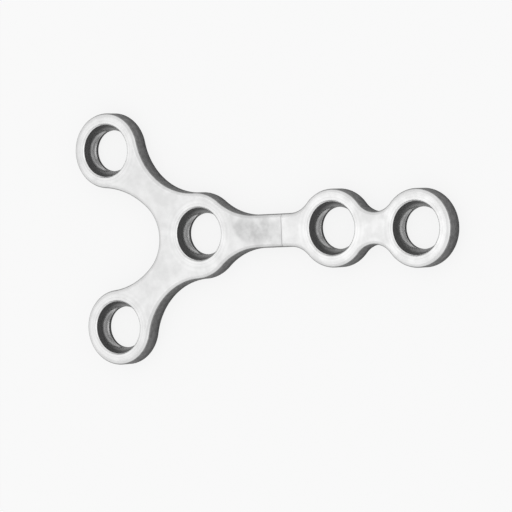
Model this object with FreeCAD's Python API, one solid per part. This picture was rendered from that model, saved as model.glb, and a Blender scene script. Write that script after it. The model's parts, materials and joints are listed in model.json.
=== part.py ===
"""A five-hole, Y-shaped bone plate: one flat piece of implant steel that lies on its bone side.

The origin is on the axis of the hub hole, at the bone side. +X runs along the bar to the shaft end,
+Y across the plate, and +Z out of the front face, where the screw heads sit.
Sizes are in millimetres and angles in degrees.
"""
import FreeCAD, Part
import math
import os
from collections import namedtuple

# The sheet that the plate is milled from
thickness = 1.10
front_rounding = 0.12
back_chamfer = 0.08

# The screw holes: a short bore, a seat for the screw's ball-shaped head, and a short straight recess at the front.
# The steepness limit keeps the seat lower than one that would meet the recess without an edge
bore_radius = 1.15
bore_length = 0.22
bore_chamfer = 0.05
seat_width = 0.30
seat_steepness_limit = 0.95
recess_length = 0.15
mouth_chamfer = 0.09

# The metal left round the recesses of the two fork holes, and of the two holes at the shaft end
fork_ring_wall = 0.65
shaft_ring_wall = 0.70

# The pad round the hub hole: thicker than the rings, and shifted towards the fork and a little to one side
pad_wall = 0.96
pad_shift = 0.26
pad_side_shift = -0.09

# The straight bar from the hub to the shaft hole, and the hollows that join it to both
bar_length = 8.64
bar_width = 1.85
pad_hollow = 3.60
ring_hollow = 1.50

# The neck from the shaft hole to the end hole, which is set a little to one side
neck_length = 5.31
neck_width = 1.79
neck_turn = -2.0

# The fork: two arms about an axis that is set a little to one side as well
fork_turn = 1.3
fork_half_angle = 40.4
upper_arm_length = 7.76
lower_arm_length = 7.58
arm_hollow = 3.65

# The crotch between the arms: a round bottom, the metal left between it and the hub's recess, and the angle
# by which an arm's inner edge leaves it more widely than the arm itself
crotch_radius = 2.33
crotch_wall = 1.26
crotch_flare = 3.6

# The relief milled into the bar's front: a slope that starts on a slanted line and ends at a square step,
# with the full metal that is left between it and the recesses at both ends
relief_depth = 0.10
relief_slant = 26.0
relief_hub_gap = 1.20
relief_shaft_gap = 1.69

# Sizes that follow from the ones above. The seat fills the height that the bore, the recess and its chamfer leave,
# and its ball is centred on the hole's axis
mouth_radius = bore_radius + seat_width
seat_reach = mouth_radius**2 - bore_radius**2
seat_room = thickness - mouth_chamfer - recess_length - bore_length
seat_height = min(seat_room, seat_steepness_limit * math.sqrt(seat_reach))
seat_ball_rise = (seat_reach / seat_height - seat_height) / 2
seat_ball_radius = math.hypot(mouth_radius, seat_ball_rise)
seat_ball_height = bore_length + seat_height + seat_ball_rise
fork_ring_radius = mouth_radius + fork_ring_wall
shaft_ring_radius = mouth_radius + shaft_ring_wall
pad_radius = mouth_radius + pad_wall
thinnest_wall = min(fork_ring_wall, shaft_ring_wall, pad_wall)
overrun = thickness
closeness = thickness * 1e-6

# An arc of the outline; hollow says that its centre lies outside the metal
Round = namedtuple("Round", "centre radius hollow")


def point(length, angle):
    """Return the point at a length and an angle from the hub's axis, at the bone side."""
    turn = math.radians(angle)
    return FreeCAD.Vector(length * math.cos(turn), length * math.sin(turn), 0)


def hole_centres():
    """Return the centre of each screw hole at the bone side, by name."""
    fork_axis = 180 + fork_turn
    shaft = point(bar_length, 0)
    return {
        "hub": point(0, 0),
        "upper_fork": point(upper_arm_length, fork_axis - fork_half_angle),
        "lower_fork": point(lower_arm_length, fork_axis + fork_half_angle),
        "shaft": shaft,
        "end": shaft + point(neck_length, neck_turn),
    }


def neck_hollow():
    """Return the radius of the hollows that leave the neck its width between two equal rings."""
    half_pitch = neck_length / 2
    half_width = neck_width / 2
    return (half_pitch**2 + half_width**2 - shaft_ring_radius**2) / (2 * (shaft_ring_radius - half_width))


def hollow_between(first, second, radius, side):
    """Return the hollow that touches two rings, to the left (side 1) or right (-1) of the way between them."""
    way = second.centre - first.centre
    span = way.Length
    along = way.normalize()
    across = FreeCAD.Vector(-along.y, along.x, 0)
    reach_first = first.radius + radius
    reach_second = second.radius + radius
    forward = (reach_first**2 - reach_second**2 + span**2) / (2 * span)
    sideways = math.sqrt(reach_first**2 - forward**2)
    return Round(first.centre + along * forward + across * (side * sideways), radius, True)


def bar_hollow(ring, radius, way, side):
    """Return the hollow that leads from a ring into one edge of the bar; way is 1 towards the shaft end."""
    height = side * (bar_width / 2 + radius)
    forward = math.sqrt((ring.radius + radius) ** 2 - (height - ring.centre.y) ** 2)
    return Round(FreeCAD.Vector(ring.centre.x + way * forward, height, 0), radius, True)


def arm_inner_edge(ring, crotch, angle):
    """Return the flatter hollow that leaves the crotch's arc at an angle and touches the arm's ring."""
    outward = point(1, angle)
    gap = crotch.centre - ring.centre
    lean = gap.dot(outward)
    radius = (gap.dot(gap) + 2 * crotch.radius * lean + crotch.radius**2 - ring.radius**2) / (
        2 * (ring.radius + crotch.radius + lean)
    )
    return Round(crotch.centre - outward * (radius - crotch.radius), radius, True)


def meeting_point(first, second):
    """Return the point where two neighbours of the outline touch; a bar edge is given by its height alone."""
    if isinstance(first, float):
        return FreeCAD.Vector(second.centre.x, first, 0)
    if isinstance(second, float):
        return FreeCAD.Vector(first.centre.x, second, 0)
    if first.hollow != second.hollow:
        return first.centre + (second.centre - first.centre).normalize() * first.radius
    small, large = sorted((first, second), key=lambda item: item.radius)
    return small.centre + (small.centre - large.centre).normalize() * small.radius


def arc_edge(start, end, arc):
    """Return the arc from start to end, counterclockwise round metal and clockwise round a hollow."""
    first = math.atan2(start.y - arc.centre.y, start.x - arc.centre.x)
    last = math.atan2(end.y - arc.centre.y, end.x - arc.centre.x)
    sweep = (last - first) % math.tau
    if arc.hollow:
        sweep -= math.tau
    middle = arc.centre + point(arc.radius, math.degrees(first + sweep / 2))
    return Part.Arc(start, middle, end).toShape()


def outline():
    """Return the plate's closed outline at the bone side, counterclockwise from the end hole's ring."""
    centres = hole_centres()
    upper, lower = (Round(centres[name], fork_ring_radius, False) for name in ("upper_fork", "lower_fork"))
    shaft, end = (Round(centres[name], shaft_ring_radius, False) for name in ("shaft", "end"))
    fork_axis = 180 + fork_turn
    pad_centre = point(pad_shift, fork_axis) + FreeCAD.Vector(0, pad_side_shift, 0)
    pad = Round(pad_centre, pad_radius, False)
    crotch_centre = point(mouth_radius + crotch_wall + crotch_radius, fork_axis)
    crotch = Round(crotch_centre, crotch_radius, True)
    crotch_half_span = 90 - fork_half_angle - crotch_flare
    course = [
        end,
        hollow_between(shaft, end, neck_hollow(), 1),
        shaft,
        bar_hollow(shaft, ring_hollow, -1, 1),
        bar_width / 2,
        bar_hollow(pad, pad_hollow, 1, 1),
        pad,
        hollow_between(upper, pad, arm_hollow, 1),
        upper,
        arm_inner_edge(upper, crotch, fork_turn + crotch_half_span),
        crotch,
        arm_inner_edge(lower, crotch, fork_turn - crotch_half_span),
        lower,
        hollow_between(lower, pad, arm_hollow, -1),
        pad,
        bar_hollow(pad, pad_hollow, 1, -1),
        -bar_width / 2,
        bar_hollow(shaft, ring_hollow, -1, -1),
        shaft,
        hollow_between(shaft, end, neck_hollow(), -1),
    ]
    edges = []
    for index, item in enumerate(course):
        start = meeting_point(course[index - 1], item)
        finish = meeting_point(item, course[(index + 1) % len(course)])
        if isinstance(item, float):
            edges.append(Part.LineSegment(start, finish).toShape())
        else:
            edges.append(arc_edge(start, finish, item))
    return Part.Wire(edges)


def rim(body, height):
    """Return the edges of a body that lie flat at a height."""
    return [
        edge
        for edge in body.Edges
        if max(abs(edge.BoundBox.ZMin - height), abs(edge.BoundBox.ZMax - height)) < closeness
    ]


def slab():
    """Return the plain plate with its outer edges rounded at the front and broken at the bone side."""
    blank = Part.Face(outline()).extrude(FreeCAD.Vector(0, 0, thickness))
    blank = blank.makeFillet(min(front_rounding, thinnest_wall / 3), rim(blank, thickness))
    return blank.makeChamfer(min(back_chamfer, thinnest_wall / 3), rim(blank, 0))


def hole_cutter(centre):
    """Return the turned tool that leaves the bore, the ball seat and the recess of one screw hole."""

    def at(radius, height):
        return FreeCAD.Vector(radius, 0, height)

    def on_ball(radius):
        return at(radius, seat_ball_height - math.sqrt(seat_ball_radius**2 - radius**2))

    bore = [
        at(0, -overrun),
        at(bore_radius + bore_chamfer, -overrun),
        at(bore_radius + bore_chamfer, 0),
        at(bore_radius, bore_chamfer),
        on_ball(bore_radius),
    ]
    seat = Part.Arc(on_ball(bore_radius), on_ball(bore_radius + seat_width / 2), on_ball(mouth_radius))
    recess = [
        on_ball(mouth_radius),
        at(mouth_radius, thickness - mouth_chamfer),
        at(mouth_radius + mouth_chamfer, thickness),
        at(mouth_radius + mouth_chamfer, thickness + overrun),
        at(0, thickness + overrun),
        at(0, -overrun),
    ]
    profile = Part.Wire([*Part.makePolygon(bore).Edges, seat.toShape(), *Part.makePolygon(recess).Edges])
    tool = Part.Face(profile).revolve(FreeCAD.Vector(0, 0, 0), FreeCAD.Vector(0, 0, 1), 360)
    tool.translate(centre)
    return tool


def relief_cutter():
    """Return the block that mills the relief: tilted down towards the shaft, and square at its deep end."""
    start = mouth_radius + relief_hub_gap
    end = bar_length - mouth_radius - relief_shaft_gap
    slope_length = (end - start) * math.cos(math.radians(relief_slant))
    tilt = math.degrees(math.atan2(relief_depth, slope_length))
    block = Part.makeBox(bar_length, 2 * pad_radius, overrun, FreeCAD.Vector(0, -pad_radius, 0))
    block.rotate(FreeCAD.Vector(0, 0, 0), FreeCAD.Vector(0, 1, 0), tilt)
    block.rotate(FreeCAD.Vector(0, 0, 0), FreeCAD.Vector(0, 0, 1), relief_slant)
    block.translate(FreeCAD.Vector(start, 0, thickness))
    keep = Part.makeBox(end, 2 * pad_radius, 2 * thickness, FreeCAD.Vector(0, -pad_radius, 0))
    return block.common(keep)


def bone_plate():
    """Return the finished plate as one solid."""
    body = slab().cut(relief_cutter())
    for centre in hole_centres().values():
        body = body.cut(hole_cutter(centre))
    return body.Solids[0]


os.makedirs("parts", exist_ok=True)
plate = bone_plate()
plate.exportStep("parts/bone_plate.step")
box = plate.optimalBoundingBox()
print("valid", plate.isValid(), "faces", len(plate.Faces), "volume", round(plate.Volume, 3))
print("size", round(box.XLength, 3), round(box.YLength, 3), round(box.ZLength, 3))
print("low corner", round(box.XMin, 3), round(box.YMin, 3), round(box.ZMin, 3))
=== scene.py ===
"""A Y-shaped bone plate with five screw holes, of satin implant steel, lying on its bone side on a table.

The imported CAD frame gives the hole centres, the bore and the thickness. The plate is modelled in millimetres
and brought to metres at the end, and the patterns of its materials are in millimetres too.
"""
import json
import math
from collections import namedtuple
from functools import partial
from types import SimpleNamespace

import bmesh
import bpy
from mathutils import Matrix, Vector


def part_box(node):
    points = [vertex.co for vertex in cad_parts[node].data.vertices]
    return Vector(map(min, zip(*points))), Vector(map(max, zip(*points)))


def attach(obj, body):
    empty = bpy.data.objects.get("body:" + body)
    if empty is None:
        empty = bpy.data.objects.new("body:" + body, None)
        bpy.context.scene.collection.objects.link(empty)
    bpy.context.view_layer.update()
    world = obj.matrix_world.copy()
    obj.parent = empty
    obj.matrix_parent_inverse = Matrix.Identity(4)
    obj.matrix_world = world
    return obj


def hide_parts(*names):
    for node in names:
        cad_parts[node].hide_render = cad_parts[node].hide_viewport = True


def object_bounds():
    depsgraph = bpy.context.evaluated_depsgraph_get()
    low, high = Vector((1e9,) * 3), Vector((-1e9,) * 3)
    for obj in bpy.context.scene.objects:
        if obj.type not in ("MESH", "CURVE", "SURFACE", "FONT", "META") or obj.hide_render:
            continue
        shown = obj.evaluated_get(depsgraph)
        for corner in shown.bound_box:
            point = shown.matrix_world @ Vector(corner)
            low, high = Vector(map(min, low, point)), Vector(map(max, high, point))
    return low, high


bl_info = {
    "name": "Y-shaped bone plate",
    "version": (1, 0, 0),
    "blender": (4, 5, 0),
    "location": "3D View > Sidebar > Bone plate",
    "description": "A small Y-shaped bone plate of satin implant steel, and the table that it lies on",
    "category": "Object",
}

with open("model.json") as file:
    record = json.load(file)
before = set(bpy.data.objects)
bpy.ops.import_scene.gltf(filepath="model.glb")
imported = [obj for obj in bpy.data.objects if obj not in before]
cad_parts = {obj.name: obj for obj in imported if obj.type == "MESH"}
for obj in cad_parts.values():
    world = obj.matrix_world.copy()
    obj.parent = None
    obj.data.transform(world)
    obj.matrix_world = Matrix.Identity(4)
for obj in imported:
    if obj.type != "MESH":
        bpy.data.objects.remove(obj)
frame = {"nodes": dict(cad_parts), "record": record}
cad_low, cad_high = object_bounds()

MM = 0.001
NODE = "bone_plate"
HOLES = ("hub", "upper_fork", "lower_fork", "shaft", "end")
UP = Vector((0, 0, 1))
WHITE = (1, 1, 1, 1)

# Places that are closer than this, in millimetres, count as one
CLOSE = 1e-4

# How many straight steps each round shape is drawn with
ROUNDING_STEPS = 8
EDGE_BREAK_STEPS = 3
SEAT_STEPS = 10
HOLE_STEPS = 96
TABLE_STEPS = 96

# The materials of the slab and of the hole cutters, in order
FACE, SIDE = range(2)
TURNED, BURNISHED, RIM = range(3)

# Where the front's rounding is so steep that its normal rises less than this, it looks like the side walls and
# gets their steel, whose darker tint is painted shade
SIDE_NORMAL_RISE = 0.57

# An edge that bends by more than this stays sharp
SHARP_BEND = math.radians(32)

# Share of the relief's depth at even distances across its rounded step, from the full metal down
STEP_PROFILE = (0.12, 0.45, 1.0)

# Tumbling leaves a grain of about 0.01 mm; that is too fine to show, so it is drawn this coarse
GRAIN_MM = 0.10

# The deburring tool's marks are about 0.02 mm apart; too fine to show, so they are drawn this far apart
RING_MARK_MM = 0.15

# The relief's patches are as wide as a few passes of its cutter, and their shade differs by this share
RELIEF_PATCH_MM = 0.40
RELIEF_PATCHINESS = 0.25

# The relief's tone starts softly at the cutter's round mark, and ends sharply at the step
CUTTER_FADE_MM = 0.28
STEP_FADE_MM = 0.05

# The clouds are turned, so that the noise's own grid doesn't line up with the bar's straight edges
CLOUD_TURN = math.radians(-20)

# Share of a steel's roughness that its dark and its light clouds have
DARK_CLOUD_ROUGHNESS = 1.12
LIGHT_CLOUD_ROUGHNESS = 0.92

# The values that a noise mostly keeps between; they are spread over the whole range of a pattern
NOISE_SPAN = {"From Min": 0.36, "From Max": 0.64}

# Tone of the ring marks by the value of their noise
RING_TONE = {"From Min": 0.35, "From Max": 0.65, "To Min": 0.98, "To Max": 1.10}

# Strength of the ring marks by the distance from the middle of the hole's mouth, in millimetres
RING_FADE = {"From Min": 1.6, "From Max": 2.3, "To Min": 1.0, "To Max": 0.0}

# Painted shade by the height above the bone side, in millimetres: darker at the walls' feet and up the seats'
# steep part
WALL_FOOT_PAINTED_SHADE = {"From Min": 0.0, "From Max": 0.60, "To Min": 0.52, "To Max": 1.0}
SEAT_PAINTED_SHADE = {"From Min": 0.26, "From Max": 0.68, "To Min": 1.0, "To Max": 0.24}

# Strength of the relief's darker tone, which is partly its milled finish and partly painted shade, across from
# the bar's middle line and along it from the relief's start
RELIEF_ACROSS = {"From Min": 0.30, "From Max": 0.85, "To Min": 1.0, "To Max": 0.45}
RELIEF_HUB_END = {"From Min": -0.25, "From Max": 0.75, "To Min": 0.75, "To Max": 1.0}
RELIEF_SHAFT_END = {"From Min": 1.00, "From Max": 2.55, "To Min": 1.0, "To Max": 0.55}

# The sockets of a colour mix, which share their names with those of its other kinds
FIRST_COLOUR, SECOND_COLOUR, MIXED_COLOUR = 6, 7, 2

SENSOR_MM = 36.0

# An arc of the outline; hollow says that its centre lies outside the metal
Round = namedtuple("Round", "centre radius hollow")

# A soft lamp that points at the plate: its direction in degrees, its distance and its size in millimetres
Softbox = namedtuple("Softbox", "name azimuth elevation distance width height")
CEILING = Softbox("ceiling", azimuth=180, elevation=66, distance=150, width=150, height=58)
FRONT = Softbox("front", azimuth=0, elevation=28, distance=200, width=240, height=80)


def linear(hex_colour):
    """Turn an sRGB hex value such as #C8C8C8 to linear red, green and blue."""
    channels = [int(hex_colour[i : i + 2], 16) / 255 for i in (1, 3, 5)]
    return [value / 12.92 if value <= 0.04045 else ((value + 0.055) / 1.055) ** 2.4 for value in channels]


def length(name, millimetres, description):
    """Return a length property whose default is given in millimetres."""
    return bpy.props.FloatProperty(
        name=name, description=description, default=millimetres * MM, unit="LENGTH", precision=5
    )


def angle(name, degrees, description):
    """Return an angle property whose default is given in degrees."""
    return bpy.props.FloatProperty(
        name=name, description=description, default=math.radians(degrees), unit="ROTATION"
    )


def point(name, millimetres, description):
    """Return the property of a place, whose default is given in millimetres."""
    return bpy.props.FloatVectorProperty(
        name=name,
        description=description,
        default=[value * MM for value in millimetres],
        unit="LENGTH",
        subtype="TRANSLATION",
        precision=5,
    )


def share(name, value, description):
    """Return a property that runs from 0 to 1."""
    return bpy.props.FloatProperty(
        name=name, description=description, default=value, min=0, max=1, subtype="FACTOR"
    )


def level(name, value, description):
    """Return the property of a light's strength, where 1 shows as white in a mirror."""
    return bpy.props.FloatProperty(name=name, description=description, default=value, min=0)


def colour(name, hex_colour, description):
    """Return a colour property whose default is given in sRGB."""
    return bpy.props.FloatVectorProperty(
        name=name, description=description, default=linear(hex_colour), subtype="COLOR", min=0, max=1
    )


class PlateLengths(bpy.types.PropertyGroup):
    """The plate's lengths that the frame doesn't give."""

    front_rounding: length("Front rounding", 0.25, "Rounding of the outer edges at the front")
    back_chamfer: length("Back chamfer", 0.08, "Broken outer edges at the bone side")
    bore_length: length("Bore length", 0.22, "Height of the bore's top above the bone side")
    bore_chamfer: length("Bore chamfer", 0.05, "Broken edge of the bores at the bone side")
    seat_width: length("Seat width", 0.30, "How much wider than the bore the recess is, in radius")
    recess_length: length("Recess length", 0.15, "Height of the straight recess between seat and mouth")
    mouth_chamfer: length("Mouth chamfer", 0.09, "Broken edge of the recesses at the front")
    fork_ring_wall: length("Fork ring wall", 0.65, "Metal round the recesses of the fork holes")
    shaft_ring_wall: length("Shaft ring wall", 0.70, "Metal round the recesses at the shaft end")
    pad_wall: length("Pad wall", 0.96, "Metal round the recess of the hub hole")
    pad_shift: length("Pad shift", 0.26, "How far the hub's pad is shifted towards the fork")
    pad_side_shift: length("Pad side shift", -0.09, "How far the hub's pad is shifted to one side")
    bar_width: length("Bar width", 1.85, "Width of the straight bar")
    pad_hollow: length("Pad hollow", 3.60, "Radius of the hollows between the hub's pad and the bar")
    ring_hollow: length("Ring hollow", 1.50, "Radius of the hollows between the bar and the shaft ring")
    neck_width: length("Neck width", 1.79, "Width of the neck between the last two holes")
    arm_hollow: length("Arm hollow", 3.65, "Radius of the hollows on the outside of the arms")
    crotch_radius: length("Crotch radius", 2.33, "Radius of the round bottom between the arms")
    crotch_wall: length("Crotch wall", 1.26, "Metal between that bottom and the hub's recess")
    relief_depth: length("Relief depth", 0.10, "Depth of the relief's step on the bar")
    relief_hub_gap: length("Relief hub gap", 1.20, "Full metal between the hub's recess and the relief")
    relief_shaft_gap: length("Relief shaft gap", 1.69, "Full metal between the relief and the shaft recess")
    relief_step: length("Relief step", 0.14, "Width of the rounded step that the relief ends in")
    relief_cutter: length("Relief cutter", 2.20, "Radius of the cutter's round mark where the relief starts")
    cutter_place: point("Cutter place", (1.51, 1.14, 0), "Middle of that mark, seen from the relief's start")
    edge_break: length("Edge break", 0.03, "Tiny rounding that a polisher leaves on the holes' edges")
    facet: length("Facet", 0.07, "Length of the straight steps that the outline's arcs are drawn with")


class PlateAngles(bpy.types.PropertyGroup):
    """The plate's angles that the frame doesn't give."""

    crotch_flare: angle("Crotch flare", 3.6, "How much wider than the arm its inner edge starts")
    relief_slant: angle("Relief slant", 26.0, "Slant of the line on which the relief starts")


class PlateFinish(bpy.types.PropertyGroup):
    """The colours and the gloss of the metal; some colours hold painted shade and a painted highlight."""

    face_colour: colour("Face colour", "#DEDEDE", "Satin steel of the front")
    face_roughness: share("Face roughness", 0.34, "Gloss of the satin front; lower is shinier")
    # The side walls' darker tint is painted shade, for the dark surroundings that they mirror
    side_colour: colour("Side colour", "#B0B0B0", "Milled steel of the outer walls")
    side_roughness: share("Side roughness", 0.36, "Gloss of the outer walls")
    # The relief's darker tone is partly its milled finish and partly painted shade
    relief_shade: share("Relief shade", 0.25, "How much darker the milled relief is than the tumbled front")
    # The rims' brighter tint is a painted highlight; their lower roughness is the polish
    rim_colour: colour("Rim colour", "#E8E8E8", "Polished steel of the recesses' broken edges")
    rim_roughness: share("Rim roughness", 0.30, "Gloss of the recesses' broken edges")
    # The holes' dark tint is painted shade, for the inside of the hole that the walls mirror
    hole_colour: colour("Hole colour", "#787878", "Turned steel of the holes' walls")
    hole_roughness: share("Hole roughness", 0.26, "Gloss of the turned holes' walls")
    seat_colour: colour("Seat colour", "#E6E6E6", "Burnished steel of the ball seats")
    seat_roughness: share("Seat roughness", 0.18, "Gloss of the ball seats")


class StageSetup(bpy.types.PropertyGroup):
    """The table, the lamps and the camera."""

    table_colour: colour("Table colour", "#C0C0C0", "Pale grey that the table lights the plate with")
    table_white: colour("Table white", "#F4F4F4", "White of the table to the eye, on which the shadow shows")
    table_lift: share("Table lift", 0.82, "How far the table is lifted to the white of the room behind it")
    lift_start: length("Lift start", 2, "Distance at which the table's image in the metal starts to lift")
    lift_end: length("Lift end", 12, "Distance from which that image is lifted in full")
    table_radius: length("Table radius", 40000, "Radius of the round table top")
    room_fill: level("Room fill", 0.72, "Light that the white room gives")
    ceiling_level: level("Ceiling light", 0.42, "Strength of the soft lamp overhead")
    front_level: level("Front light", 0.3, "Strength of the soft lamp on the camera's side")
    camera_target: point("Camera target", (3.735, -1.349, 1.10), "Place in the middle of the picture")
    camera_distance: length("Camera distance", 247.5, "From the middle of the picture to the camera")
    camera_azimuth: angle("Camera azimuth", 0.358, "Direction of the camera, from +X towards +Y")
    camera_elevation: angle("Camera elevation", 57.558, "Height of the camera above the table's plane")
    camera_roll: angle("Camera roll", -92.724, "Turn of the picture about the line of sight")
    camera_lens: bpy.props.FloatProperty(
        name="Camera lens", description="Focal length on a 36 mm sensor", default=316.4, unit="CAMERA"
    )


def in_millimetres(lengths):
    """Return the plate's lengths by the same names, in millimetres."""
    return SimpleNamespace(**{name: getattr(lengths, name) / MM for name in PlateLengths.__annotations__})


def hole_centres():
    """Return the centre of each screw hole at the bone side, in millimetres, from the frame's mounts."""
    places = {mount["name"]: mount["pos_m"] for mount in frame["record"]["mounts"]}
    return {name: Vector((*places[name + "_hole"][:2], 0)) / MM for name in HOLES}


def bore_radius():
    """Return the bores' radius in millimetres, from the frame's mounts."""
    return next(mount["dims"]["r_mm"] for mount in frame["record"]["mounts"] if mount["kind"] == "bore")


def recess_radius(lengths):
    """Return the radius of the straight recess above each ball seat."""
    return bore_radius() + lengths.seat_width


def plate_thickness():
    """Return the plate's thickness in millimetres, from its CAD node."""
    low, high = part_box(NODE)
    return (high.z - low.z) / MM


def direction(turn):
    """Return the unit vector at an angle from +X."""
    return Vector((math.cos(turn), math.sin(turn), 0))


def hollow_between(first, second, radius, side):
    """Return the hollow that touches two rings, left (side 1) or right (-1) of the way between them."""
    way = second.centre - first.centre
    span = way.length
    along = way.normalized()
    across = UP.cross(along)
    reach_first = first.radius + radius
    reach_second = second.radius + radius
    forward = (reach_first**2 - reach_second**2 + span**2) / (2 * span)
    sideways = math.sqrt(reach_first**2 - forward**2)
    return Round(first.centre + along * forward + across * side * sideways, radius, True)


def bar_hollow(ring, radius, bar_width, way, side):
    """Return the hollow that leads from a ring into one edge of the bar; way is 1 towards the shaft end."""
    height = side * (bar_width / 2 + radius)
    forward = math.sqrt((ring.radius + radius) ** 2 - (height - ring.centre.y) ** 2)
    return Round(Vector((ring.centre.x + way * forward, height, 0)), radius, True)


def arm_inner_edge(ring, crotch, turn):
    """Return the flatter hollow that leaves the crotch's arc at an angle and touches the arm's ring."""
    outward = direction(turn)
    gap = crotch.centre - ring.centre
    lean = gap.dot(outward)
    radius = (gap.dot(gap) + 2 * crotch.radius * lean + crotch.radius**2 - ring.radius**2) / (
        2 * (ring.radius + crotch.radius + lean)
    )
    return Round(crotch.centre - outward * (radius - crotch.radius), radius, True)


def relief_span(lengths):
    """Return where the relief starts and ends on the bar's middle line."""
    start = recess_radius(lengths) + lengths.relief_hub_gap
    end = hole_centres()["shaft"].x - recess_radius(lengths) - lengths.relief_shaft_gap
    return Vector((start, 0, 0)), Vector((end, 0, 0))


def outline_course(lengths, angles):
    """Return the outline's arcs and bar edges in order, counterclockwise from the end hole's ring."""
    centres = hole_centres()
    recess = recess_radius(lengths)
    fork_radius = recess + lengths.fork_ring_wall
    shaft_radius = recess + lengths.shaft_ring_wall
    upper, lower = (Round(centres[name], fork_radius, False) for name in ("upper_fork", "lower_fork"))
    shaft, end = (Round(centres[name], shaft_radius, False) for name in ("shaft", "end"))

    upper_turn, lower_turn = (math.atan2(ring.centre.y, ring.centre.x) % math.tau for ring in (upper, lower))
    fork_axis = (upper_turn + lower_turn) / 2
    fork_half_angle = (lower_turn - upper_turn) / 2
    pad_centre = direction(fork_axis) * lengths.pad_shift + Vector((0, lengths.pad_side_shift, 0))
    pad = Round(pad_centre, recess + lengths.pad_wall, False)

    crotch_reach = recess + lengths.crotch_wall + lengths.crotch_radius
    crotch = Round(direction(fork_axis) * crotch_reach, lengths.crotch_radius, True)
    crotch_half_span = math.pi / 2 - fork_half_angle - angles.crotch_flare
    towards_bar = fork_axis - math.pi

    half_pitch = (end.centre - shaft.centre).length / 2
    half_neck = lengths.neck_width / 2
    neck_hollow = (half_pitch**2 + half_neck**2 - shaft_radius**2) / (2 * (shaft_radius - half_neck))
    bar_width = lengths.bar_width
    return [
        end,
        hollow_between(shaft, end, neck_hollow, 1),
        shaft,
        bar_hollow(shaft, lengths.ring_hollow, bar_width, -1, 1),
        bar_width / 2,
        bar_hollow(pad, lengths.pad_hollow, bar_width, 1, 1),
        pad,
        hollow_between(upper, pad, lengths.arm_hollow, 1),
        upper,
        arm_inner_edge(upper, crotch, towards_bar + crotch_half_span),
        crotch,
        arm_inner_edge(lower, crotch, towards_bar - crotch_half_span),
        lower,
        hollow_between(lower, pad, lengths.arm_hollow, -1),
        pad,
        bar_hollow(pad, lengths.pad_hollow, bar_width, 1, -1),
        -bar_width / 2,
        bar_hollow(shaft, lengths.ring_hollow, bar_width, -1, -1),
        shaft,
        hollow_between(shaft, end, neck_hollow, -1),
    ]


def meeting_point(first, second):
    """Return the point where two neighbours of the outline touch; a bar edge is given by its height alone."""
    if isinstance(first, float):
        return Vector((second.centre.x, first, 0))
    if isinstance(second, float):
        return Vector((first.centre.x, second, 0))
    if first.hollow != second.hollow:
        return first.centre + (second.centre - first.centre).normalized() * first.radius
    small, large = sorted((first, second), key=lambda item: item.radius)
    return small.centre + (small.centre - large.centre).normalized() * small.radius


def verts_among(parts):
    """Return the vertices among the parts that an operator gives back."""
    return [part for part in parts if isinstance(part, bmesh.types.BMVert)]


def draw_outline(bm, course, facet):
    """Draw the closed outline as edges: each arc is its first point spun about its centre."""
    tip = bm.verts.new(meeting_point(course[-1], course[0]))
    for index, item in enumerate(course):
        finish = meeting_point(item, course[(index + 1) % len(course)])
        if isinstance(item, float):
            tip = bmesh.ops.extrude_vert_indiv(bm, verts=[tip])["verts"][0]
            bmesh.ops.translate(bm, verts=[tip], vec=finish - tip.co)
            continue
        before = tip.co - item.centre
        after = finish - item.centre
        sweep = (math.atan2(after.y, after.x) - math.atan2(before.y, before.x)) % math.tau
        if item.hollow:
            sweep -= math.tau
        steps = max(2, math.ceil(abs(sweep) * item.radius / facet))
        spun = bmesh.ops.spin(
            bm, geom=[tip], cent=item.centre, axis=UP, angle=sweep, steps=steps, use_duplicate=False
        )
        tip = verts_among(spun["geom_last"])[0]
    bmesh.ops.remove_doubles(bm, verts=bm.verts, dist=CLOSE)


def edges_at(bm, height):
    """Return the edges that lie flat at a height."""
    return [edge for edge in bm.edges if all(abs(vert.co.z - height) < CLOSE for vert in edge.verts)]


def round_off(bm, parts, width, steps, affect="EDGES"):
    """Round edges, or the corners of a profile, off by a width; a single step makes a chamfer."""
    bmesh.ops.bevel(
        bm,
        geom=parts,
        offset=width,
        offset_type="OFFSET",
        segments=steps,
        profile=0.5,
        affect=affect,
        material=-1,
        clamp_overlap=False,
    )


def mill_relief(bm, lengths, angles):
    """Lower the bar's top and its rounded edges: a slope from the slanted start down to a rounded step."""
    start, end = relief_span(lengths)
    downhill = direction(angles.relief_slant)
    slope = lengths.relief_depth / (end - start).dot(downhill)
    stride = Vector((lengths.relief_step / len(STEP_PROFILE), 0, 0))
    step_lines = [(end - stride * count, Vector((1, 0, 0))) for count in range(len(STEP_PROFILE) + 1)]
    for place, normal in [(start, downhill), *step_lines]:
        whole = bm.verts[:] + bm.edges[:] + bm.faces[:]
        bmesh.ops.bisect_plane(bm, geom=whole, dist=CLOSE, plane_co=place, plane_no=normal)

    rounding_foot = plate_thickness() - lengths.front_rounding - CLOSE
    top = [
        vert for vert in bm.verts if vert.co.z > rounding_foot and (vert.co - start).dot(downhill) > CLOSE
    ]
    for count, depth in enumerate(STEP_PROFILE, 1):
        reach = end.x - stride.x * (count - 0.5)
        behind = -math.inf if count == len(STEP_PROFILE) else reach - stride.x
        shear = Matrix.Identity(4)
        shear[2][0] = -slope * depth * downhill.x
        shear[2][1] = -slope * depth * downhill.y
        shear[2][3] = slope * depth * start.dot(downhill)
        lowered = [vert for vert in top if behind < vert.co.x < reach]
        bmesh.ops.transform(bm, matrix=shear, verts=lowered)


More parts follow.
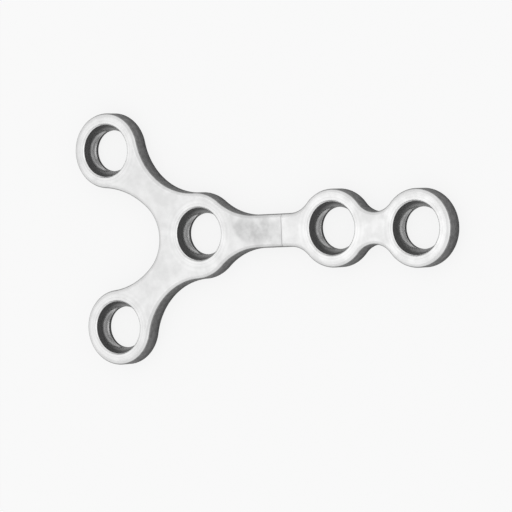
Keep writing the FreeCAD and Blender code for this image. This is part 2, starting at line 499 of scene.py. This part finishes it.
def slab_mesh(lengths, angles):
    """Return the plate without holes: rounded at the front, broken at the bone side, and with its relief."""
    bm = bmesh.new()
    thickness = plate_thickness()
    draw_outline(bm, outline_course(lengths, angles), lengths.facet)
    bmesh.ops.contextual_create(bm, geom=bm.edges[:])
    raised = bmesh.ops.extrude_face_region(bm, geom=bm.faces[:], use_keep_orig=True)
    bmesh.ops.translate(bm, verts=verts_among(raised["geom"]), vec=UP * thickness)
    round_off(bm, edges_at(bm, thickness), lengths.front_rounding, ROUNDING_STEPS)
    round_off(bm, edges_at(bm, 0), lengths.back_chamfer, 1)
    mill_relief(bm, lengths, angles)
    bmesh.ops.recalc_face_normals(bm, faces=bm.faces)
    # Steep faces get the side walls' steel, whose darker tint is painted shade
    for face in bm.faces:
        face.material_index = SIDE if abs(face.normal.z) < SIDE_NORMAL_RISE else FACE
    return bm


def draw_profile(bm, verts, places):
    """Go on from a turned tool's last profile vertex through places given by radius and height."""
    for radius, height in places:
        verts.append(bm.verts.new((radius, 0, height)))
        if len(verts) > 1:
            bm.edges.new(verts[-2:])


def hole_cutter_mesh(lengths, centre):
    """Return the turned tool that leaves the bore, the ball seat and the recess of one screw hole."""
    thickness = plate_thickness()
    bore = bore_radius()
    recess = recess_radius(lengths)
    bore_mouth = bore + lengths.bore_chamfer
    recess_mouth = recess + lengths.mouth_chamfer
    recess_top = thickness - lengths.mouth_chamfer
    seat_top = recess_top - lengths.recess_length
    seat_height = seat_top - lengths.bore_length
    ball_rise = ((recess**2 - bore**2) / seat_height - seat_height) / 2
    ball = math.hypot(recess, ball_rise)

    bm = bmesh.new()
    profile = []
    draw_profile(bm, profile, [(0, -thickness), (bore_mouth, -thickness)])
    draw_profile(bm, profile, [(bore_mouth, 0), (bore, lengths.bore_chamfer), (bore, lengths.bore_length)])
    seat = bmesh.ops.spin(
        bm,
        geom=profile[-1:],
        cent=(0, 0, seat_top + ball_rise),
        axis=(0, -1, 0),
        angle=math.asin(recess / ball) - math.asin(bore / ball),
        steps=SEAT_STEPS,
        use_duplicate=False,
    )
    profile += verts_among(seat["geom_last"])
    draw_profile(bm, profile, [(recess, recess_top), (recess_mouth, thickness)])
    corners = profile[2:]
    draw_profile(bm, profile, [(recess_mouth, 2 * thickness), (0, 2 * thickness)])
    round_off(bm, corners, lengths.edge_break, EDGE_BREAK_STEPS, "VERTICES")
    bmesh.ops.spin(
        bm,
        geom=bm.verts[:] + bm.edges[:],
        axis=UP,
        angle=math.tau,
        steps=HOLE_STEPS,
        use_merge=True,
        use_duplicate=False,
    )
    bmesh.ops.remove_doubles(bm, verts=bm.verts, dist=CLOSE)
    bmesh.ops.recalc_face_normals(bm, faces=bm.faces)
    # The holes' walls keep the turned steel with painted shade; the rims get a painted highlight, the seats
    # painted shade up their steep part
    for face in bm.faces:
        height = face.calc_center_median().z
        if height > recess_top:
            face.material_index = RIM
        elif lengths.bore_length < height < seat_top:
            face.material_index = BURNISHED
    bmesh.ops.translate(bm, verts=bm.verts, vec=centre)
    return bm


def object_from(bm, name, *materials):
    """Return a new scene object with the mesh and its materials."""
    mesh = bpy.data.meshes.new(name)
    bm.to_mesh(mesh)
    bm.free()
    for material in materials:
        mesh.materials.append(material)
    piece = bpy.data.objects.new(name, mesh)
    bpy.context.scene.collection.objects.link(piece)
    return piece


def cut(piece, cutters):
    """Cut the cutters out of a piece, whose new faces keep the cutters' materials, and remove the cutters."""
    for cutter in cutters:
        modifier = piece.modifiers.new(cutter.name, "BOOLEAN")
        modifier.operation = "DIFFERENCE"
        modifier.solver = "EXACT"
        modifier.material_mode = "TRANSFER"
        modifier.object = cutter
    depsgraph = bpy.context.evaluated_depsgraph_get()
    mesh = bpy.data.meshes.new_from_object(piece.evaluated_get(depsgraph))
    if not mesh.polygons:
        raise RuntimeError(f"cutting the holes left nothing of the {piece.name}")
    piece.modifiers.clear()
    old_mesh = piece.data
    piece.data = mesh
    bpy.data.meshes.remove(old_mesh)
    for cutter in cutters:
        bpy.data.objects.remove(cutter)


def finish_mesh(piece):
    """Bring the piece to metres, and shade it smooth apart from its sharp edges."""
    bm = bmesh.new()
    bm.from_mesh(piece.data)
    bmesh.ops.scale(bm, verts=bm.verts, vec=(MM, MM, MM))
    for face in bm.faces:
        face.smooth = True
    for edge in bm.edges:
        edge.smooth = edge.calc_face_angle(0) < SHARP_BEND
    bm.to_mesh(piece.data)
    bm.free()
    weighting = piece.modifiers.new("flat faces stay flat", "WEIGHTED_NORMAL")
    weighting.mode = "FACE_AREA"
    weighting.keep_sharp = True


def add_node(tree, kind, inputs=None, **settings):
    """Add a node with its settings, and give each named input a value or a link."""
    node = tree.nodes.new(kind)
    for name, value in settings.items():
        setattr(node, name, value)
    for name, value in (inputs or {}).items():
        if isinstance(value, bpy.types.NodeSocket):
            tree.links.new(value, node.inputs[name])
        else:
            node.inputs[name].default_value = value
    return node


def steel(name, tint, roughness, cloud_mm, cloud_depth, grain_height_mm, marks=None):
    """Return a bare steel with soft clouds in its tone and gloss, and a fine grain that breaks up highlights.

    The clouds are as wide as the patches that the real finish shows. The function marks may add a second
    pattern to the tone, and gets the place on the plate in millimetres.
    """
    material = bpy.data.materials.new(name)
    material.use_nodes = True
    tree = material.node_tree
    tree.nodes.clear()
    metres = add_node(tree, "ShaderNodeTexCoord").outputs["Object"]
    in_mm = add_node(tree, "ShaderNodeVectorMath", {0: metres, "Scale": 1 / MM}, operation="SCALE")
    place = in_mm.outputs["Vector"]
    turned = add_node(tree, "ShaderNodeMapping", {"Vector": place, "Rotation": (0, 0, CLOUD_TURN)})
    clouds = add_node(
        tree,
        "ShaderNodeTexNoise",
        {"Vector": turned.outputs["Vector"], "Scale": 1 / cloud_mm, "Detail": 3.0, "Roughness": 0.6},
    )
    ramp = {"Value": clouds.outputs["Fac"], **NOISE_SPAN}
    tone = add_node(tree, "ShaderNodeMapRange", {**ramp, "To Min": 1 - cloud_depth, "To Max": 1.0}).outputs[0]
    if marks:
        both = {0: tone, 1: marks(tree, place)}
        tone = add_node(tree, "ShaderNodeMath", both, operation="MULTIPLY").outputs[0]
    shade = add_node(tree, "ShaderNodeVectorMath", {0: tuple(tint), "Scale": tone}, operation="SCALE")
    gloss = add_node(
        tree,
        "ShaderNodeMapRange",
        {
            **ramp,
            "To Min": roughness * DARK_CLOUD_ROUGHNESS,
            "To Max": roughness * LIGHT_CLOUD_ROUGHNESS,
        },
    )
    grain = add_node(tree, "ShaderNodeTexNoise", {"Vector": place, "Scale": 1 / GRAIN_MM, "Detail": 2.0})
    bump = add_node(
        tree,
        "ShaderNodeBump",
        {"Height": grain.outputs["Fac"], "Distance": grain_height_mm * MM, "Strength": 1.0},
    )
    surface = add_node(
        tree,
        "ShaderNodeBsdfPrincipled",
        {
            "Base Color": shade.outputs["Vector"],
            "Metallic": 1.0,
            "Roughness": gloss.outputs["Result"],
            "Normal": bump.outputs["Normal"],
        },
    )
    add_node(tree, "ShaderNodeOutputMaterial", {"Surface": surface.outputs["BSDF"]})
    return material


def painted_shade_by_height(tree, place, shade):
    """Return a painted shade that changes softly with the height above the bone side."""
    height = add_node(tree, "ShaderNodeSeparateXYZ", {"Vector": place}).outputs["Z"]
    ramp = {"Value": height, **shade}
    return add_node(tree, "ShaderNodeMapRange", ramp, interpolation_type="SMOOTHSTEP").outputs["Result"]


def ring_marks(tree, place):
    """Return the tone of the light circular marks round each hole, which fade out across its ring."""
    gaps = []
    for centre in hole_centres().values():
        ends = {0: place, 1: centre + UP * plate_thickness()}
        gaps.append(add_node(tree, "ShaderNodeVectorMath", ends, operation="DISTANCE").outputs["Value"])
    nearest = gaps.pop(0)
    for gap in gaps:
        nearest = add_node(tree, "ShaderNodeMath", {0: nearest, 1: gap}, operation="MINIMUM").outputs[0]
    rings = add_node(
        tree,
        "ShaderNodeTexNoise",
        {"W": nearest, "Scale": 1 / RING_MARK_MM, "Detail": 1.0},
        noise_dimensions="1D",
    ).outputs["Fac"]
    tone = add_node(tree, "ShaderNodeMapRange", {"Value": rings, **RING_TONE}).outputs["Result"]
    fade = {"Value": nearest, **RING_FADE}
    strength = add_node(tree, "ShaderNodeMapRange", fade, interpolation_type="SMOOTHSTEP").outputs["Result"]
    return add_node(tree, "ShaderNodeMix", {"Factor": strength, "A": 1.0, "B": tone}).outputs["Result"]


def relief_marks_and_painted_shade(tree, place, finish, lengths):
    """Return the darker tone of the milled relief, partly its finish and partly painted shade: patchy, darkest
    in its middle, with the cutter's round start.
    """
    start, end = relief_span(lengths)
    run = end.x - start.x
    way = {0: place, 1: start}
    from_start = add_node(tree, "ShaderNodeVectorMath", way, operation="SUBTRACT").outputs["Vector"]
    ways = add_node(tree, "ShaderNodeSeparateXYZ", {"Vector": from_start}).outputs
    along = ways["X"]
    across = add_node(tree, "ShaderNodeMath", {0: ways["Y"]}, operation="ABSOLUTE").outputs[0]

    # The cutter's middle goes from its first place straight along the bar, so only what lies behind is round
    way = {0: from_start, 1: lengths.cutter_place}
    from_cutter = add_node(tree, "ShaderNodeVectorMath", way, operation="SUBTRACT").outputs["Vector"]
    sides = add_node(tree, "ShaderNodeSeparateXYZ", {"Vector": from_cutter}).outputs
    behind = add_node(tree, "ShaderNodeMath", {0: sides["X"], 1: 0.0}, operation="MINIMUM").outputs[0]
    off_track = add_node(tree, "ShaderNodeCombineXYZ", {"X": behind, "Y": sides["Y"]}).outputs["Vector"]
    gap = add_node(tree, "ShaderNodeVectorMath", {0: off_track}, operation="LENGTH").outputs["Value"]
    radius = lengths.relief_cutter

    patch_inputs = {"Vector": place, "Scale": 1 / RELIEF_PATCH_MM, "Detail": 2.0}
    patches = add_node(tree, "ShaderNodeTexNoise", patch_inputs).outputs["Fac"]
    shade = finish.relief_shade

    ramps = (
        {"Value": gap, "From Min": radius - CUTTER_FADE_MM, "From Max": radius, "To Min": 1.0, "To Max": 0.0},
        {"Value": across, **RELIEF_ACROSS},
        {"Value": along, "From Min": run - STEP_FADE_MM, "From Max": run, "To Min": 1.0, "To Max": 0.0},
        {"Value": along, **RELIEF_HUB_END},
        {"Value": along, **RELIEF_SHAFT_END},
        {
            "Value": patches,
            **NOISE_SPAN,
            "To Min": shade * (1 - RELIEF_PATCHINESS),
            "To Max": shade * (1 + RELIEF_PATCHINESS),
        },
    )
    # How much darker the relief is: partly its milled finish, partly painted shade
    depth = 1.0
    for ramp in ramps:
        part = add_node(tree, "ShaderNodeMapRange", ramp, interpolation_type="SMOOTHSTEP").outputs["Result"]
        depth = add_node(tree, "ShaderNodeMath", {0: depth, 1: part}, operation="MULTIPLY").outputs[0]
    return add_node(tree, "ShaderNodeMath", {0: 1.0, 1: depth}, operation="SUBTRACT").outputs[0]


def face_marks_and_painted_shade(tree, place, finish, lengths):
    """Return the tone of the front: the marks round the holes, and the relief's darker tone, which is partly
    painted shade.
    """
    both = {0: ring_marks(tree, place), 1: relief_marks_and_painted_shade(tree, place, finish, lengths)}
    return add_node(tree, "ShaderNodeMath", both, operation="MULTIPLY").outputs[0]


def satin_face_steel(finish, lengths):
    """Implant steel tumbled with fine stone: a soft, slightly cloudy grey-white sheen with faint rings.

    The relief on the bar was milled later, so it looks patchy; its darker tone is partly that finish and
    partly painted shade.
    """
    return steel(
        "satin_tumbled_steel",
        finish.face_colour,
        finish.face_roughness,
        cloud_mm=0.80,
        cloud_depth=0.10,
        grain_height_mm=0.0006,
        marks=partial(face_marks_and_painted_shade, finish=finish, lengths=lengths),
    )


def milled_side_steel(finish):
    """The same steel as the cutter left it on the outer walls, with blurred spots; its darker tint is painted
    shade, for the dark surroundings that the walls mirror.

    It is darker towards the bone side: painted shade, for the table's contact shadow that the walls' feet
    mirror.
    """
    return steel(
        "milled_side_steel",
        finish.side_colour,
        finish.side_roughness,
        cloud_mm=0.24,
        cloud_depth=0.32,
        grain_height_mm=0.0010,
        marks=partial(painted_shade_by_height, shade=WALL_FOOT_PAINTED_SHADE),
    )


def polished_rim_steel(finish):
    """The same steel polished on the recesses' broken edges: a thin light ring, whose brighter tint is a
    painted highlight.
    """
    return steel(
        "polished_rim_steel",
        finish.rim_colour,
        finish.rim_roughness,
        cloud_mm=0.30,
        cloud_depth=0.06,
        grain_height_mm=0.0003,
    )


def turned_hole_steel(finish):
    """The same steel cut by a form tool: smooth walls whose dark tint is painted shade, for the inside of the
    hole that they mirror.
    """
    return steel(
        "turned_hole_steel",
        finish.hole_colour,
        finish.hole_roughness,
        cloud_mm=0.30,
        cloud_depth=0.14,
        grain_height_mm=0.0003,
    )


def burnished_seat_steel(finish):
    """The same steel pressed smooth on the ball seats: a shinier ring that catches the light low down.

    It is lighter low down and darker up the steep part: painted shade.
    """
    return steel(
        "burnished_seat_steel",
        finish.seat_colour,
        finish.seat_roughness,
        cloud_mm=0.30,
        cloud_depth=0.10,
        grain_height_mm=0.0002,
        marks=partial(painted_shade_by_height, shade=SEAT_PAINTED_SHADE),
    )


class OBJECT_OT_bone_plate(bpy.types.Operator):
    """Model the bone plate in place of its CAD node"""

    bl_idname = "object.bone_plate"
    bl_label = "Bone plate"

    def execute(self, context):
        lengths = in_millimetres(context.scene.plate_lengths)
        angles = context.scene.plate_angles
        finish = context.scene.plate_finish
        face_steel = satin_face_steel(finish, lengths)
        plate = object_from(slab_mesh(lengths, angles), "plate", face_steel, milled_side_steel(finish))
        hole_steels = (turned_hole_steel(finish), burnished_seat_steel(finish), polished_rim_steel(finish))
        cutters = [
            object_from(hole_cutter_mesh(lengths, centre), f"{name}_cutter", *hole_steels)
            for name, centre in hole_centres().items()
        ]
        cut(plate, cutters)
        finish_mesh(plate)
        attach(plate, "root")
        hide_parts(NODE)

        # The hidden CAD node is of the same steel
        hidden = frame["nodes"][NODE].data.materials
        hidden.clear()
        hidden.append(face_steel)
        return {"FINISHED"}


def direct_sight(tree, path):
    """Return 1 for what the camera sees by itself, in gloss or through something clear, and else 0."""
    seen = path.outputs["Is Camera Ray"]
    for kind in ("Is Glossy Ray", "Is Transmission Ray"):
        both = {0: seen, 1: path.outputs[kind]}
        seen = add_node(tree, "ShaderNodeMath", both, operation="MAXIMUM").outputs[0]
    return seen


def table_material(setup):
    """A matt white table top: the plate's soft shadow shows on it, and further off it meets the white behind.

    In the metal's gloss it stays matt close by, so that the walls' feet are dark, and is white further off.
    """
    material = bpy.data.materials.new("matt_white_table")
    material.use_nodes = True
    tree = material.node_tree
    tree.nodes.clear()
    path = add_node(tree, "ShaderNodeLightPath")
    tones = {
        "Factor": path.outputs["Is Camera Ray"],
        FIRST_COLOUR: (*setup.table_colour, 1),
        SECOND_COLOUR: (*setup.table_white, 1),
    }
    tone = add_node(tree, "ShaderNodeMix", tones, data_type="RGBA").outputs[MIXED_COLOUR]
    matt = add_node(tree, "ShaderNodeBsdfDiffuse", {"Color": tone})
    glow = add_node(tree, "ShaderNodeEmission", {"Color": WHITE, "Strength": 1.0})
    ramp = {
        "Value": path.outputs["Ray Length"],
        "From Min": setup.lift_start,
        "From Max": setup.lift_end,
        "To Max": setup.table_lift,
    }
    far = add_node(tree, "ShaderNodeMapRange", ramp).outputs["Result"]
    shares = {0: direct_sight(tree, path), 1: far}
    lift = add_node(tree, "ShaderNodeMath", shares, operation="MULTIPLY").outputs[0]
    both = add_node(tree, "ShaderNodeMixShader", {"Fac": lift, 1: matt.outputs["BSDF"], 2: glow.outputs[0]})
    add_node(tree, "ShaderNodeOutputMaterial", {"Surface": both.outputs[0]})
    return material


def add_table(setup):
    """Add the round table top that the plate lies on."""
    bm = bmesh.new()
    bmesh.ops.create_circle(bm, cap_ends=True, radius=setup.table_radius, segments=TABLE_STEPS)
    table = object_from(bm, "table", table_material(setup))


def up_and_round(azimuth, elevation):
    """Return the unit vector from the plate towards a place round it and above the table."""
    return direction(azimuth) * math.cos(elevation) + UP * math.sin(elevation)


def add_softbox(box, brightness):
    """Add a soft area lamp that points at the plate; brightness is what a mirror would show of it."""
    lamp = bpy.data.lights.new(box.name, "AREA")
    lamp.shape = "RECTANGLE"
    lamp.size = box.width * MM
    lamp.size_y = box.height * MM
    lamp.energy = brightness * math.pi * lamp.size * lamp.size_y
    holder = bpy.data.objects.new(box.name, lamp)
    bpy.context.scene.collection.objects.link(holder)
    back = up_and_round(math.radians(box.azimuth), math.radians(box.elevation))
    middle = (cad_low + cad_high) / 2
    holder.location = middle + back * box.distance * MM
    holder.rotation_euler = back.to_track_quat("Z", "Y").to_euler()


def add_world(setup):
    """Make the room white to the eye and in the metal, and a soft grey fill for everything else."""
    world = bpy.data.worlds.new("white room")
    bpy.context.scene.world = world
    world.use_nodes = True
    tree = world.node_tree
    tree.nodes.clear()
    seen = direct_sight(tree, add_node(tree, "ShaderNodeLightPath"))
    strength = add_node(tree, "ShaderNodeMapRange", {"Value": seen, "To Min": setup.room_fill, "To Max": 1.0})
    room = add_node(tree, "ShaderNodeBackground", {"Color": WHITE, "Strength": strength.outputs["Result"]})
    add_node(tree, "ShaderNodeOutputWorld", {"Surface": room.outputs[0]})


def add_camera(setup):
    """Set the camera where the photograph's stood."""
    lens = bpy.data.cameras.new("camera")
    lens.lens = setup.camera_lens
    lens.sensor_width = SENSOR_MM
    lens.clip_start = 10 * MM
    camera = bpy.data.objects.new("camera", lens)
    bpy.context.scene.collection.objects.link(camera)
    back = up_and_round(setup.camera_azimuth, setup.camera_elevation)
    level_right = UP.cross(back).normalized()
    turn = Matrix((level_right, back.cross(level_right), back)).transposed()
    turn @= Matrix.Rotation(setup.camera_roll, 3, "Z")
    place = Vector(setup.camera_target) + back * setup.camera_distance
    camera.matrix_world = Matrix.Translation(place) @ turn.to_4x4()
    bpy.context.scene.camera = camera


class OBJECT_OT_photo_stage(bpy.types.Operator):
    """Set up the table, the lamps, the white room and the camera"""

    bl_idname = "object.photo_stage"
    bl_label = "Stage"

    def execute(self, context):
        setup = context.scene.stage_setup
        add_table(setup)
        add_softbox(CEILING, setup.ceiling_level)
        add_softbox(FRONT, setup.front_level)
        add_world(setup)
        add_camera(setup)
        context.scene.view_settings.view_transform = "Standard"
        return {"FINISHED"}


GROUPS = {
    PlateLengths: "plate_lengths",
    PlateAngles: "plate_angles",
    PlateFinish: "plate_finish",
    StageSetup: "stage_setup",
}


class VIEW3D_PT_bone_plate(bpy.types.Panel):
    """Sizes, finish and buttons of the bone plate"""

    bl_label = "Bone plate"
    bl_idname = "VIEW3D_PT_bone_plate"
    bl_space_type = "VIEW_3D"
    bl_region_type = "UI"
    bl_category = "Bone plate"

    def draw(self, context):
        for group, place in GROUPS.items():
            box = self.layout.box()
            for name in group.__annotations__:
                box.prop(getattr(context.scene, place), name)
        self.layout.operator(OBJECT_OT_bone_plate.bl_idname)
        self.layout.operator(OBJECT_OT_photo_stage.bl_idname)


CLASSES = (*GROUPS, OBJECT_OT_bone_plate, OBJECT_OT_photo_stage, VIEW3D_PT_bone_plate)


def register():
    """Make the properties, the two buttons and the panel known to Blender."""
    for item in CLASSES:
        bpy.utils.register_class(item)
    for group, place in GROUPS.items():
        setattr(bpy.types.Scene, place, bpy.props.PointerProperty(type=group))


def unregister():
    """Take the panel, the buttons and the properties away again."""
    for place in GROUPS.values():
        delattr(bpy.types.Scene, place)
    for item in reversed(CLASSES):
        bpy.utils.unregister_class(item)


def main():
    """Model the plate and its stage."""
    register()
    bpy.ops.object.bone_plate()
    bpy.ops.object.photo_stage()


if __name__ == "__main__":
    main()
